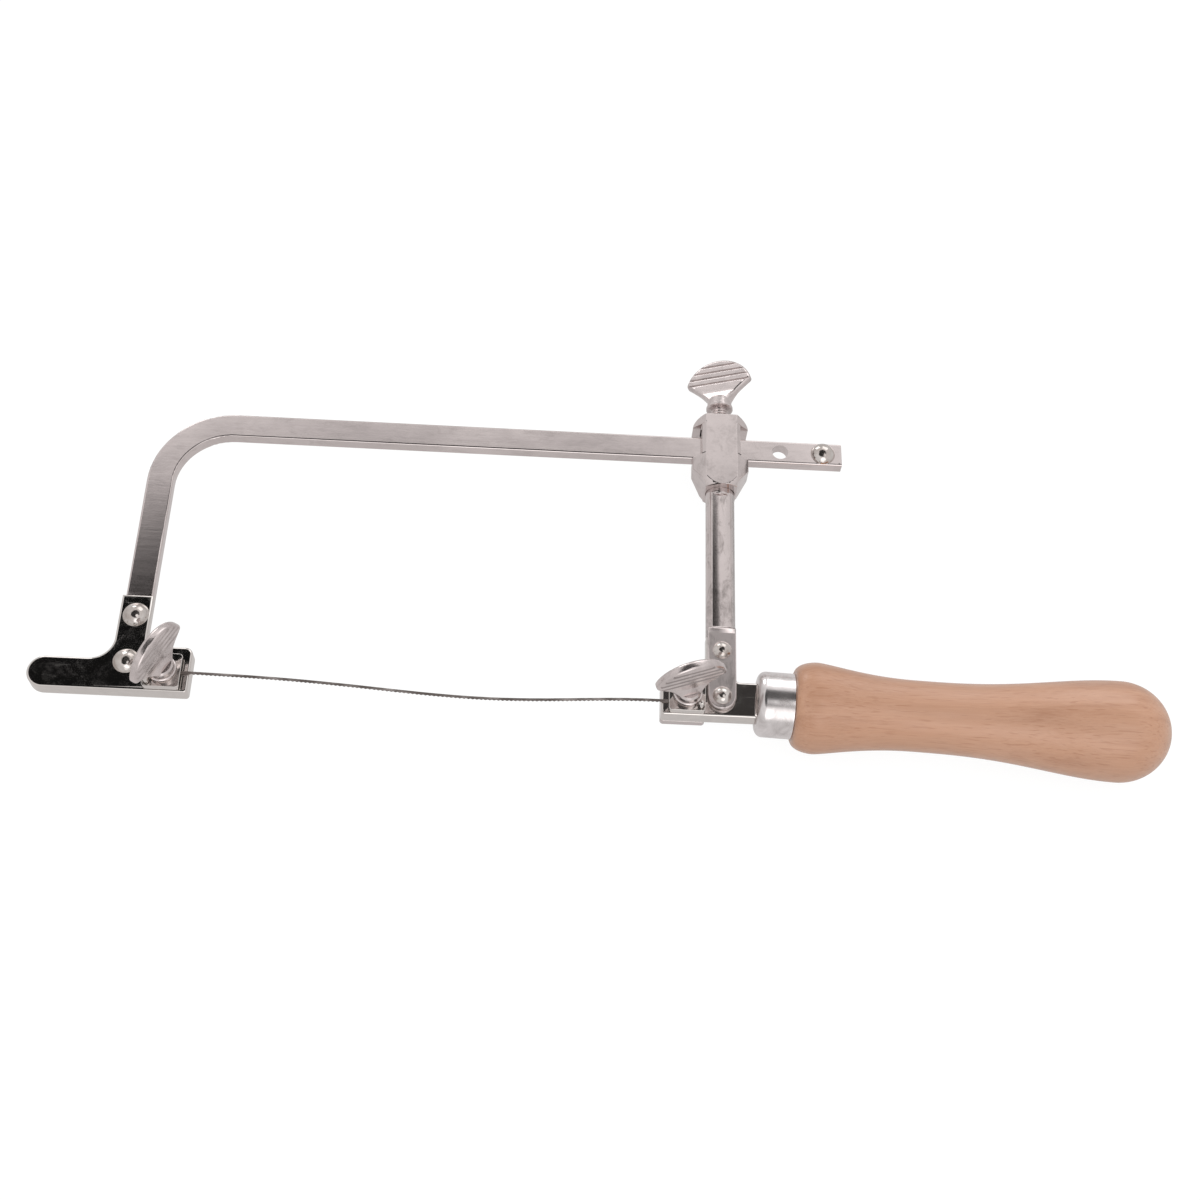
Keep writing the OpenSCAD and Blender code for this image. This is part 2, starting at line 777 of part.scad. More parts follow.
// Outline of the handle: rounded face, bulb, waist, swell and rounded end, as [radius, distance]
function handle_outline() =
    let (
        bulb_skew = 0.65,
        swell_skew = 1.4,
        stretch_steps = 12,
        swell_at = handle_l - swell_from_end
    ) concat(
        [for (a = [0 : arc_step : 90 - arc_step])
            [handle_face_r + (bulb_r - handle_face_r) * sin(a), bulb_at * (1 - cos(a))]],
        [for (i = [0 : stretch_steps - 1])
            let (share = i / stretch_steps)
            [bulb_r + (waist_r - bulb_r) * ease(pow(share, bulb_skew)),
             bulb_at + (waist_at - bulb_at) * share]],
        [for (i = [0 : stretch_steps - 1])
            let (share = i / stretch_steps)
            [waist_r + (swell_r - waist_r) * ease(pow(share, swell_skew)),
             waist_at + (swell_at - waist_at) * share]],
        [for (a = [90 : -arc_step / 2 : 0])
            [swell_r * sin(a), swell_at + swell_from_end * cos(a)]]);

module handle() {
    spigot_r = ferrule_r - ferrule_wall - seat_gap;
    spigot_l = ferrule_l - ferrule_web - seat_gap;
    color("burlywood") place() droop() difference() {
        translate([ferrule_l, 0, 0]) along_x() rotate_extrude() polygon(concat(
            [[0, -spigot_l], [spigot_r, -spigot_l], [spigot_r, 0]],
            handle_outline()));
        translate([0, -tang_w / 2 - tang_gap, -jaw_face_z - tang_gap]) {
            cube([tang_l + tang_gap, tang_w + 2 * tang_gap, plate_t + 2 * tang_gap]);
        }
        translate([0, 0, 0]) cube([2 * ferrule_web + 4 * seat_gap, jaw_w + 4 * tang_gap, plate_t + 4 * tang_gap],
                                  center = true);
    }
}

frame_bar();
front_foot();
front_rivets();
stop_rivet();
front_guide_pin();
front_clamp_plate();
front_thumb_screw();
blade();
slide_head();
pressure_shoe();
slide_thumb_screw();
post();
rear_jaw();
rear_nut_plate();
rear_rivets();
rear_guide_pin();
rear_clamp_plate();
rear_thumb_screw();
ferrule();
handle();
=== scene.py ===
"""Adjustable fret saw on a pale floor: nickelled frame, slack blade and turned beech handle."""
import json
import math

import bpy
from mathutils import Matrix, Vector

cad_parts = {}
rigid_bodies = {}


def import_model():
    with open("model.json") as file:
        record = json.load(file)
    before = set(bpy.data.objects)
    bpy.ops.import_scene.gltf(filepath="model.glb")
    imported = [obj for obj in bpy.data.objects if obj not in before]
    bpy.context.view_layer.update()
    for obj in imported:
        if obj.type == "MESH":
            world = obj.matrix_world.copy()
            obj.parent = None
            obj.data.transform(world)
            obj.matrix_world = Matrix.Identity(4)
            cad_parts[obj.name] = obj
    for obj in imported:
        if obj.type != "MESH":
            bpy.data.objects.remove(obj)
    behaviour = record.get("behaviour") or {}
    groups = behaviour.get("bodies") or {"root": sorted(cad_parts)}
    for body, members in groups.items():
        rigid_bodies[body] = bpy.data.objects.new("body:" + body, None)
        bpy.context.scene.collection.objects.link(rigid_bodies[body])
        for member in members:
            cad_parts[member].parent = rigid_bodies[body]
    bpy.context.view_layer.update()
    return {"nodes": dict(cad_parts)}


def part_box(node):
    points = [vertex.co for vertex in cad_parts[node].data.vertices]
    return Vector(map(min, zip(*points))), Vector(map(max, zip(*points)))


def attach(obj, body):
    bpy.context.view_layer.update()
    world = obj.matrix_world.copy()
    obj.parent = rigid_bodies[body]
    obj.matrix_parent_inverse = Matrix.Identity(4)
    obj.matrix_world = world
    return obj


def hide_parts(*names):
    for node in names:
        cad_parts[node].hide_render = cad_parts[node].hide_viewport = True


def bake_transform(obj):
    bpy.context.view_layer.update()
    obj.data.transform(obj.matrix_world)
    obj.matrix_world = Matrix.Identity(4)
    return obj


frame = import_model()

bl_info = {
    "name": "Fret Saw",
    "version": (1, 0, 0),
    "blender": (4, 5, 0),
    "location": "3D View > Sidebar > Fret Saw",
    "description": "Builds an adjustable fret saw over its packed frame",
    "category": "Add Mesh",
}

MM = 0.001

# Sizes of the frame that place pieces, in millimetres
BAR_WIDTH = 6.5
THROAT = 70.0
FOOT_END = 14.7
REAR_JAW = 125.1
POST = 139.3
JAW_FACE = 2.0
CLAMP_TOP = 4.13
SCREW_SET = 6.0
PIN_SET = 3.15
SLIDE_COLLAR = 82.7
FERRULE = 147.6
FERRULE_LENGTH = 8.7
DROOP = 2.0

# Sizes of rivets and guide pins, in millimetres
RIVET_R = 3.1
RIVET_RISE = 2.1
REAR_RIVET_R = 2.3
REAR_RIVET_RISE = 1.6
BACK_RIVET_R = 1.85
BACK_RIVET_RISE = 0.5
SHANK_R = 1.4
BAR_HALF = 1.6
TONGUE_TOP = 3.6
PIN_R = 0.7
PIN_HEIGHT = 4.6

# Sizes of the thumb screws, in millimetres
BLADE_SCREW_LENGTH = 8.6
SHOE_TOP = 74.61
WING_HALF = 8.5
WING_TOP = 15.4
WING_TIP = 8.9
WING_THICK = 2.4
WING_CORNER = 0.9
WING_RIM = 0.85
NECK_R = 3.1
NECK_TOP = 2.2
WEDGE_LOW = NECK_TOP - 1
WEDGE_HALF = NECK_R * 0.8
WEDGE_KINK = WING_TOP * 0.34
BLOCK_HALF = 20
GROOVE_PITCH = 1.75
GROOVE_WIDTH = 0.7
GROOVE_BAR = 1.0
GROOVE_TILT = math.radians(20)
GROOVES = 4
GROOVED_FROM = WING_TOP * 0.4
GROOVED_TO = WING_TOP - 1.2
THREAD_PITCH = 0.8
THREAD_CREST = 2.4
THREAD_ROOT = 2.08

# Middles of the holes through the bar and the jaws, in millimetres across and up
STOP = (POST + 26.2, THROAT)
SPARE_STOP = (POST + 15.3, THROAT)
FRONT_HIGH = (0, 15)
FRONT_LOW = (-0.4, 2.8)
REAR_HIGH = (POST, 12)
REAR_LOW = (POST, 0.2)
PLATE_HOLES = (
    STOP, SPARE_STOP, FRONT_HIGH, FRONT_LOW, REAR_HIGH, REAR_LOW,
    (FOOT_END - SCREW_SET, 0), (FOOT_END - SCREW_SET - PIN_SET, -PIN_SET),
    (REAR_JAW + SCREW_SET, 0), (REAR_JAW + SCREW_SET + PIN_SET, -PIN_SET),
)
HOLE_ROOM = 2.6

# Height at which the post's tongue ends, and the middle of the post's flat across, in millimetres
TONGUE_END = 16.6
CROWN_MIDDLE = POST - 1.3

# Width of the camera's sensor in millimetres, and of the photo in pixels
SENSOR = 36
PHOTO_PIXELS = 1200

# Corners this near are merged, faces this flat are made one, and edges this sharp are rounded
MERGE = 0.002 * MM
FLAT = math.radians(0.3)
SHARP = math.radians(40)

# Radius in millimetres that stands for a turned form's point
POINT_R = 0.02


def saw_origin():
    """The point where the arm's middle line, the jaws' middle line and the bar's middle plane meet."""
    low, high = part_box("frame_bar")
    half = BAR_WIDTH / 2 * MM
    return Vector((low.x + half, high.y - half - THROAT * MM, (low.z + high.z) / 2))


def spot(x, y, z):
    """A point given in millimetres from the saw's own origin, in metres in the frame."""
    return saw_origin() + Vector((x, y, z)) * MM


def deselect():
    """Goes back to object mode and leaves nothing selected."""
    if bpy.context.object and bpy.context.object.mode != "OBJECT":
        bpy.ops.object.mode_set(mode="OBJECT")
    bpy.ops.object.select_all(action="DESELECT")


def only(piece):
    """Selects one piece and makes it active."""
    deselect()
    piece.select_set(True)
    bpy.context.view_layer.objects.active = piece


def apply_modifier(piece, kind, **settings):
    """Adds a modifier to a piece, sets it up and applies it."""
    only(piece)
    modifier = piece.modifiers.new(kind.title(), kind)
    for key, value in settings.items():
        setattr(modifier, key, value)
    bpy.ops.object.modifier_apply(modifier=modifier.name)


def smooth(piece, degrees=35):
    """Shades a piece smooth, but for its sharp edges."""
    only(piece)
    bpy.ops.object.shade_smooth_by_angle(angle=math.radians(degrees))
    apply_modifier(piece, "WEIGHTED_NORMAL", keep_sharp=True, weight=100)


def settle(piece, matrix):
    """Puts a piece in its place and leaves its object at the origin."""
    only(piece)
    piece.matrix_world = matrix
    bpy.ops.object.transform_apply(location=True, rotation=True, scale=True)


def merged_copy(node, name):
    """A copy of a solid of the frame, with its corners merged and its flat faces whole."""
    only(frame["nodes"][node])
    bpy.ops.object.duplicate()
    piece = bpy.context.object
    bpy.ops.object.parent_clear(type="CLEAR")
    for key in list(piece.keys()):
        del piece[key]
    piece.name = name
    piece.data.materials.clear()
    bpy.ops.object.mode_set(mode="EDIT")
    bpy.ops.mesh.select_all(action="SELECT")
    bpy.ops.mesh.remove_doubles(threshold=MERGE)
    bpy.ops.mesh.dissolve_limited(angle_limit=FLAT)
    bpy.ops.object.mode_set(mode="OBJECT")
    return piece


def softened(node, name, width, finish, segments):
    """A merged copy whose sharp edges get a rounded bevel of a given width in millimetres."""
    piece = merged_copy(node, name)
    apply_modifier(piece, "BEVEL", width=width * MM, segments=segments, limit_method="ANGLE",
                   angle_limit=SHARP, use_clamp_overlap=False)
    smooth(piece)
    piece.data.materials.append(finish)
    return piece


def rolled(node, name, width, finish):
    """A merged copy of a flat plate whose outer edges, front and back, are rounded over."""
    piece = merged_copy(node, name)
    low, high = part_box(node)
    front_share, back_share = 1.0, 0.5
    for level, share in ((high.z, front_share), (low.z, back_share)):
        mark_rim(piece, level)
        bpy.ops.mesh.bevel(offset=width * share * MM, segments=5, profile=0.5, clamp_overlap=False)
        bpy.ops.object.mode_set(mode="OBJECT")
    smooth(piece)
    piece.data.materials.append(finish)
    return piece


def mark_rim(piece, level):
    """In edit mode, selects the sharp edges of a plate's face at one height, but not its holes."""
    holes = [spot(x, y, 0) for x, y in PLATE_HOLES]
    level_room = 0.005 * MM
    only(piece)
    bpy.ops.object.mode_set(mode="EDIT")
    bpy.ops.mesh.select_mode(type="EDGE")
    bpy.ops.mesh.select_all(action="DESELECT")
    bpy.ops.object.mode_set(mode="OBJECT")
    mesh = piece.data
    sides = {}
    for face in mesh.polygons:
        for key in face.edge_keys:
            sides.setdefault(key, []).append(face.normal)
    for edge in mesh.edges:
        ends = [mesh.vertices[i].co for i in edge.vertices]
        middle = (ends[0] + ends[1]) / 2
        normals = sides.get(tuple(sorted(edge.vertices)), [])
        level_edge = all(abs(co.z - level) < level_room for co in ends)
        sharp = len(normals) == 2 and normals[0].angle(normals[1], 0) > SHARP
        outside = all((middle - hole).xy.length > HOLE_ROOM * MM for hole in holes)
        edge.select = level_edge and sharp and outside
    bpy.ops.object.mode_set(mode="EDIT")


def turned(name, stations, sides):
    """A closed turned form about Z: stations are (height, radius) in millimetres."""
    deselect()
    height, radius = stations[0]
    bpy.ops.mesh.primitive_circle_add(vertices=sides, radius=radius * MM, fill_type="NGON",
                                      location=(0, 0, 0))
    piece = bpy.context.object
    piece.name = name
    bpy.ops.object.mode_set(mode="EDIT")
    bpy.ops.mesh.select_all(action="SELECT")
    bpy.ops.transform.translate(value=(0, 0, height * MM))
    for next_height, next_radius in stations[1:]:
        bpy.ops.mesh.extrude_region_move(
            TRANSFORM_OT_translate={"value": (0, 0, (next_height - height) * MM)})
        share = next_radius / radius
        bpy.ops.transform.resize(value=(share, share, 1), center_override=(0, 0, next_height * MM))
        height, radius = next_height, next_radius
    bpy.ops.mesh.select_all(action="SELECT")
    bpy.ops.mesh.normals_make_consistent(inside=False)
    bpy.ops.object.mode_set(mode="OBJECT")
    return piece


def joined(pieces, name):
    """Several pieces made one."""
    deselect()
    for piece in pieces:
        piece.select_set(True)
    bpy.context.view_layer.objects.active = pieces[0]
    bpy.ops.object.join()
    pieces[0].name = name
    return pieces[0]


def fit(piece, body, slot, *nodes):
    """Hands a finished piece over to the frame."""
    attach(piece, body)
    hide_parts(*nodes)


class Wire:
    """A shader value; sums and products of it add their Math nodes."""

    def __init__(self, finish, socket):
        self.finish = finish
        self.socket = socket

    def math(self, operation, first, second=0.0):
        return self.finish.node("ShaderNodeMath", {"operation": operation}, {0: first, 1: second})

    def __add__(self, other):
        return self.math("ADD", self, other)

    __radd__ = __add__

    def __sub__(self, other):
        return self.math("SUBTRACT", self, other)

    def __mul__(self, other):
        return self.math("MULTIPLY", self, other)


class Finish:
    """A material under construction."""

    def __init__(self, name, data=None):
        self.material = data or bpy.data.materials.new(name)
        self.material.use_nodes = True
        self.tree = self.material.node_tree
        self.tree.nodes.clear()

    def node(self, kind, settings=None, values=None, output=0):
        """One node: its settings are set first, then its sockets' values or links."""
        made = self.tree.nodes.new(kind)
        for key, value in (settings or {}).items():
            setattr(made, key, value)
        for key, value in (values or {}).items():
            if isinstance(value, Wire):
                self.tree.links.new(value.socket, made.inputs[key])
            else:
                made.inputs[key].default_value = value
        return Wire(self, made.outputs[output])

    def place(self, scale=(1, 1, 1), turn=(0, 0, 0), shift=(0, 0, 0)):
        """Object coordinates, scaled, turned and shifted."""
        where = self.node("ShaderNodeTexCoord", output="Object")
        return self.node("ShaderNodeMapping", {}, {"Vector": where, "Scale": scale, "Rotation": turn,
                                                   "Location": shift})

    def noise(self, where, scale, detail, roughness, distortion=0.0):
        """Noise from 0 to 1; a higher scale is finer."""
        return self.node("ShaderNodeTexNoise", {}, {"Vector": where, "Scale": scale, "Detail": detail,
                                                    "Roughness": roughness, "Distortion": distortion})

    def between(self, value, low, high, out_low, out_high):
        """A value moved from one range to another, held inside it."""
        return self.node("ShaderNodeMapRange", {}, {"Value": value, "From Min": low, "From Max": high,
                                                    "To Min": out_low, "To Max": out_high})

    def mix(self, share, first, second):
        """One colour turned into another by a share."""
        made = self.tree.nodes.new("ShaderNodeMix")
        made.data_type = "RGBA"
        for key, value in ((0, share), (6, first), (7, second)):
            if isinstance(value, Wire):
                self.tree.links.new(value.socket, made.inputs[key])
            else:
                made.inputs[key].default_value = value if key == 0 or len(value) == 4 else (*value, 1)
        return Wire(self, made.outputs[2])

    def bump(self, height, strength, distance, under=None):
        """A bumped normal, on top of another one if that is given."""
        values = {"Height": height, "Strength": strength, "Distance": distance}
        if under:
            values["Normal"] = under
        return self.node("ShaderNodeBump", {}, values)

    def surface(self, values):
        """The shader itself, linked to the output; gives the material back."""
        shader = self.node("ShaderNodeBsdfPrincipled", {}, values)
        self.node_output(shader)
        return self.material

    def node_output(self, shader):
        """Links a shader to the material's output."""
        end = self.tree.nodes.new("ShaderNodeOutputMaterial")
        self.tree.links.new(shader.socket, end.inputs["Surface"])


def dimmed(color, share):
    """A colour at a share of its brightness."""
    return tuple(part * share for part in color)


def brushed_nickel(settings, name="nickel_brushed", stretch=(0.12, 1, 1), mottle=0.25, dull=0.0, crown=0):
    """Nickel plate over brushed steel: streaks along the stock, fine grain and soft dull patches.

    A crown, in 1/m, makes the post's flat look a little rounded across, as the buffing wheel left it.
    """
    finish = Finish(name)
    plain = tuple(settings.nickel_color)
    streak_color, stain_color = (0.50, 0.46, 0.44), (0.30, 0.27, 0.26)
    stain_stretch = tuple(0.35 + 0.65 * s for s in stretch)
    streaks = finish.noise(finish.place(stretch), 900.0, 2.0, 0.6)
    grain = finish.noise(finish.place(), 2600.0, 2.0, 0.7)
    patches = finish.noise(finish.place(), 55.0, 4.0, 0.6, 0.4)
    stains = finish.noise(finish.place(stain_stretch, shift=(0.3, 0.3, 0)), 420.0, 4.0, 0.7, 0.5)
    tone = finish.between(patches, 0.35, 0.7, 0.0, 1.0)
    color = finish.mix(tone, plain, dimmed(plain, 0.86))
    color = finish.mix(finish.between(streaks, 0.62, 0.8, 0.0, 0.35), color, streak_color)
    color = finish.mix(finish.between(stains, 0.5, 0.72, 0.0, mottle), color, stain_color)
    height = finish.node("ShaderNodeSeparateXYZ", {}, {0: finish.place()}, output="Y")
    tongue_top = spot(0, TONGUE_END, 0).y
    rubbed = finish.between(height, tongue_top, tongue_top + 2 * MM, dull, 0.0)
    rough = 0.05 + patches * 0.09 + streaks * 0.05 + rubbed
    rounded = None
    if crown:
        side = finish.node("ShaderNodeSeparateXYZ", {}, {0: finish.place()}, output="X")
        side = side - spot(CROWN_MIDDLE, 0, 0).x
        above_tongue = finish.between(height, tongue_top, tongue_top + 2 * MM, 0.0, 1.0)
        rounded = finish.bump(side * side * (-crown / 2) * above_tongue, 1.0, 1.0)
    return finish.surface({
        "Base Color": color, "Metallic": 1.0, "Roughness": rough,
        "Normal": finish.bump(streaks * 0.7 + grain * 0.5, 0.12, 0.00004, rounded)})


def bright_nickel(settings):
    """Bright nickel plate: nearly a mirror, with faint ripples, haze and hairline scratches."""
    finish = Finish("nickel_bright")
    plain = tuple(settings.polish_color)
    ripples = finish.noise(finish.place(), 260.0, 2.0, 0.5)
    haze = finish.noise(finish.place(), 280.0, 5.0, 0.65, 0.8)
    hairs = finish.noise(finish.place((0.05, 1.4, 1), (0, 0, 0.5)), 2400.0, 1.0, 0.4)
    color = finish.mix(finish.between(haze, 0.4, 0.75, 0.0, 0.6), plain, dimmed(plain, 0.85))
    rough = finish.between(haze, 0.42, 0.72, 0.03, 0.15) + finish.between(hairs, 0.68, 0.8, 0.0, 0.12)
    return finish.surface({
        "Base Color": color, "Metallic": 1.0, "Roughness": rough,
        "Normal": finish.bump(ripples + hairs * 0.2, 0.08, 0.00008)})


def dull_nickel():
    """Bright plate gone a little dull with handling, for the ferrule."""
    finish = Finish("nickel_dull")
    clear_color, stain_color = (0.82, 0.785, 0.785), (0.60, 0.565, 0.56)
    smears = finish.noise(finish.place((1, 0.4, 1)), 190.0, 4.0, 0.6, 1.2)
    grain = finish.noise(finish.place(), 2400.0, 2.0, 0.6)
    stain = finish.between(smears, 0.42, 0.70, 0.0, 1.0)
    color = finish.mix(stain, clear_color, stain_color)
    rough = finish.between(smears, 0.35, 0.72, 0.17, 0.28)
    return finish.surface({
        "Base Color": color, "Metallic": 1.0, "Roughness": rough,
        "Normal": finish.bump(smears * 0.8 + grain * 0.2, 0.08, 0.00015)})


def hammered_nickel(settings):
    """Bright plate over rivet heads that were closed with a hammer: a bumpy mirror."""
    finish = Finish("nickel_hammered")
    haze_color = (0.46, 0.41, 0.38)
    dents = finish.noise(finish.place(), 620.0, 1.0, 0.4, 0.5)
    haze = finish.noise(finish.place(), 300.0, 4.0, 0.6)
    color = finish.mix(finish.between(haze, 0.4, 0.7, 0.0, 1.0), tuple(settings.polish_color), haze_color)
    return finish.surface({
        "Base Color": color, "Metallic": 1.0, "Roughness": finish.between(haze, 0.3, 0.8, 0.07, 0.2),
        "Normal": finish.bump(dents, 0.55, 0.0002)})


def cast_nickel(settings):
    """Nickel over a cast wing: a fine pebbled skin with dull and rubbed places."""
    finish = Finish("nickel_cast")
    plain = tuple(settings.nickel_color)
    pit_color, groove_shade_color = (0.42, 0.38, 0.35), (0.22, 0.19, 0.18)
    pebbles = finish.noise(finish.place(), 2100.0, 3.0, 0.6)
    patches = finish.noise(finish.place(), 240.0, 4.0, 0.65, 0.6)
    tone = finish.between(patches, 0.36, 0.66, 0.0, 1.0)
    color = finish.mix(tone, plain, dimmed(plain, 0.78))
    color = finish.mix(finish.between(pebbles, 0.6, 0.75, 0.0, 0.3), color, pit_color)
    # The grooves' tilted faces get a darker colour as painted shade, by the amount each screw stores
    groove = finish.node("ShaderNodeAttribute", {"attribute_name": "groove"}, output="Fac")
    color = finish.mix(groove, color, groove_shade_color)
    rough = 0.14 + patches * 0.18
    return finish.surface({
        "Base Color": color, "Metallic": 1.0, "Roughness": rough,
        "Normal": finish.bump(pebbles * 0.5 + patches, 0.25, 0.00012)})


def milled_steel():
    """Plain steel with milling lines, for the shoe inside the head."""
    finish = Finish("steel_milled")
    dark_line, pale_line = (0.33, 0.32, 0.31), (0.52, 0.50, 0.48)
    lines = finish.noise(finish.place((1, 0.1, 1)), 1800.0, 2.0, 0.5)
    color = finish.mix(lines, dark_line, pale_line)
    return finish.surface({"Base Color": color, "Metallic": 1.0, "Roughness": 0.3 + lines * 0.2,
                           "Normal": finish.bump(lines, 0.2, 0.00005)})


def blade_steel():
    """Dark spring steel, with rubbed brighter places."""
    finish = Finish("steel_blade")
    blued, bare = (0.17, 0.145, 0.135), (0.44, 0.40, 0.385)
    rubbed = finish.noise(finish.place((0.3, 1, 1)), 700.0, 3.0, 0.6)
    color = finish.mix(finish.between(rubbed, 0.45, 0.7, 0.0, 1.0), blued, bare)
    return finish.surface({"Base Color": color, "Metallic": 0.9, "Roughness": 0.42 + rubbed * 0.2,
                           "Normal": finish.bump(rubbed, 0.3, 0.00003)})


def beech(settings):
    """Lacquered beech: long soft grain, darker year rings and short dark flecks along the grain."""
    finish = Finish("beech_lacquered")
    light, dark = tuple(settings.wood_light), tuple(settings.wood_dark)
    ring_color, fibre_color = (0.30, 0.14, 0.076), (0.54, 0.345, 0.24)
    fleck_color, pore_color = (0.28, 0.12, 0.06), (0.27, 0.125, 0.066)
    turn = (0, 0, math.radians(DROOP))
    drift = finish.noise(finish.place((0.12, 1, 1), turn), 60.0, 3.0, 0.5, 0.6)
    rings = finish.noise(finish.place((0.05, 1, 0.7), turn, (0.2, 0.1, 0)), 240.0, 3.0, 0.5, 0.4)
    fibres = finish.noise(finish.place((0.03, 1, 1), turn), 2600.0, 3.0, 0.65)
    flecks = finish.noise(finish.place((0.08, 1, 1), turn, (0.5, 0, 0.3)), 2200.0, 1.0, 0.3)
    pores = finish.noise(finish.place((0.06, 1, 1), turn, (0, 0.7, 0)), 4200.0, 1.0, 0.4)
    wear = finish.noise(finish.place((0.5, 1, 1), turn), 130.0, 4.0, 0.6)
    color = finish.mix(finish.between(drift, 0.35, 0.68, 0.0, 1.0), light, dark)
    color = finish.mix(finish.between(rings, 0.48, 0.66, 0.0, 0.48), color, ring_color)
    color = finish.mix(finish.between(fibres, 0.45, 0.75, 0.0, 0.22), color, fibre_color)
    color = finish.mix(finish.between(flecks, 0.60, 0.72, 0.0, 0.42), color, fleck_color)
    color = finish.mix(finish.between(pores, 0.64, 0.74, 0.0, 0.34), color, pore_color)
    height = fibres * 0.4 - finish.between(pores, 0.66, 0.76, 0.0, 0.8)
    return finish.surface({
        "Base Color": color, "Roughness": 0.30 + wear * 0.22, "Specular IOR Level": 0.45,
        "Coat Weight": finish.between(wear, 0.4, 0.6, 0.35, 0.7), "Coat Roughness": 0.24,
        "Normal": finish.bump(height, 0.12, 0.00008)})


def floor_paper():
    """White floor that stays white in the picture and keeps the saw's soft shadow."""
    finish = Finish("paper_floor")
    most = 0.9
    fibres = finish.noise(finish.place(), 400.0, 2.0, 0.5)
    matt = finish.node("ShaderNodeBsdfDiffuse", {}, {
        "Color": finish.mix(fibres, (0.93, 0.93, 0.93), (0.96, 0.96, 0.96))})
    glow = finish.node("ShaderNodeEmission", {}, {"Color": (1, 1, 1, 1), "Strength": 1.03})
    seen = finish.node("ShaderNodeLightPath", output="Is Camera Ray")
    mirrored = finish.node("ShaderNodeLightPath", output="Is Glossy Ray")
    passed = finish.node("ShaderNodeLightPath", output="Is Transmission Ray")
    grey_glow = finish.node("ShaderNodeEmission", {}, {"Color": (0.65, 0.63, 0.625, 1), "Strength": 1.0})
    reflected = finish.node("ShaderNodeMixShader", {}, {0: mirrored * most, 1: matt, 2: grey_glow})
    share = seen * most + passed * most
    finish.node_output(finish.node("ShaderNodeMixShader", {}, {0: share, 1: reflected, 2: glow}))
    return finish.material


def saw_settings():
    """The colours and sizes set in the panel."""
    return bpy.context.scene.fret_saw


def finish_of(name):
    """A material by name, made on first use."""
    if name in bpy.data.materials:
        return bpy.data.materials[name]
    makers = {
        "nickel_brushed": lambda: brushed_nickel(saw_settings()),
        "nickel_upright": lambda: brushed_nickel(saw_settings(), "nickel_upright", stretch=(1, 0.12, 1),
                                                 mottle=0.9, dull=0.2, crown=90),
        "nickel_satin": lambda: brushed_nickel(saw_settings(), "nickel_satin", stretch=(0.6, 0.4, 1),
                                               mottle=0.4),
        "nickel_bright": lambda: bright_nickel(saw_settings()),
        "nickel_hammered": lambda: hammered_nickel(saw_settings()),
        "nickel_dull": dull_nickel,
        "nickel_cast": lambda: cast_nickel(saw_settings()),
        "steel_milled": milled_steel,
        "steel_blade": blade_steel,
        "beech_lacquered": lambda: beech(saw_settings()),
        "paper_floor": floor_paper,
    }
    return makers[name]()


class SawSettings(bpy.types.PropertyGroup):
    """Colours and sizes that a user would change."""

    nickel_color: bpy.props.FloatVectorProperty(
        name="Satin nickel", description="Colour of the brushed plate", subtype="COLOR",
        default=(0.70, 0.635, 0.625), min=0, max=1)
    polish_color: bpy.props.FloatVectorProperty(
        name="Polished nickel", description="Colour of the bright plate", subtype="COLOR",
        default=(0.70, 0.665, 0.64), min=0, max=1)
    wood_light: bpy.props.FloatVectorProperty(
        name="Light wood", description="Lighter colour of the handle", subtype="COLOR",
        default=(0.435, 0.238, 0.15), min=0, max=1)
    wood_dark: bpy.props.FloatVectorProperty(
        name="Dark wood", description="Darker colour of the handle", subtype="COLOR",
        default=(0.36, 0.185, 0.108), min=0, max=1)
    plate_round: bpy.props.FloatProperty(
        name="Plate rounding", description="Rounding of the jaws' edges in millimetres",
        default=0.6, min=0.2, max=0.8)
    bar_round: bpy.props.FloatProperty(
        name="Bar rounding", description="Rounding of the bar's end and lap in millimetres",
        default=0.8, min=0.1, max=1.2)
    front_turn: bpy.props.FloatProperty(
        name="Front wing turn", description="Turn of the front wing from the blade's line",
        default=math.radians(62), subtype="ANGLE")
    rear_turn: bpy.props.FloatProperty(
        name="Rear wing turn", description="Turn of the rear wing from the blade's line",
        default=math.radians(19), subtype="ANGLE")
    slide_turn: bpy.props.FloatProperty(
        name="Slide wing turn", description="Turn of the slide screw's wing from the frame's plane",
        default=math.radians(21), subtype="ANGLE")


class SAW_OT_frame_bar(bpy.types.Operator):
    """Adds the bent bar with its end and lap rounded over"""
    bl_idname = "saw.frame_bar"
    bl_label = "Frame Bar"

    def execute(self, context):
        bar = rolled("frame_bar", "bar_bent", saw_settings().bar_round, finish_of("nickel_brushed"))
        fit(bar, "bar", "satin_nickel", "frame_bar")
        return {"FINISHED"}


class SAW_OT_front_foot(bpy.types.Operator):
    """Adds the front foot with its rounded rim"""
    bl_idname = "saw.front_foot"
    bl_label = "Front Foot"

    def execute(self, context):
        foot = rolled("front_foot", "foot_plate", saw_settings().plate_round, finish_of("nickel_bright"))
        fit(foot, "bar", "polished_nickel", "front_foot")
        return {"FINISHED"}


def dome(name, base_r, rise):
    """A dome standing on Z = 0, closed below."""
    ball_r = (base_r ** 2 + rise ** 2) / (2 * rise)
    half = math.asin(base_r / ball_r)
    steps = 14
    stations = []
    for i in range(steps + 1):
        angle = half * (1 - i / steps)
        height = ball_r * math.cos(angle) - (ball_r - rise)
        stations.append((height, max(ball_r * math.sin(angle), POINT_R)))
    return turned(name, stations, 64)


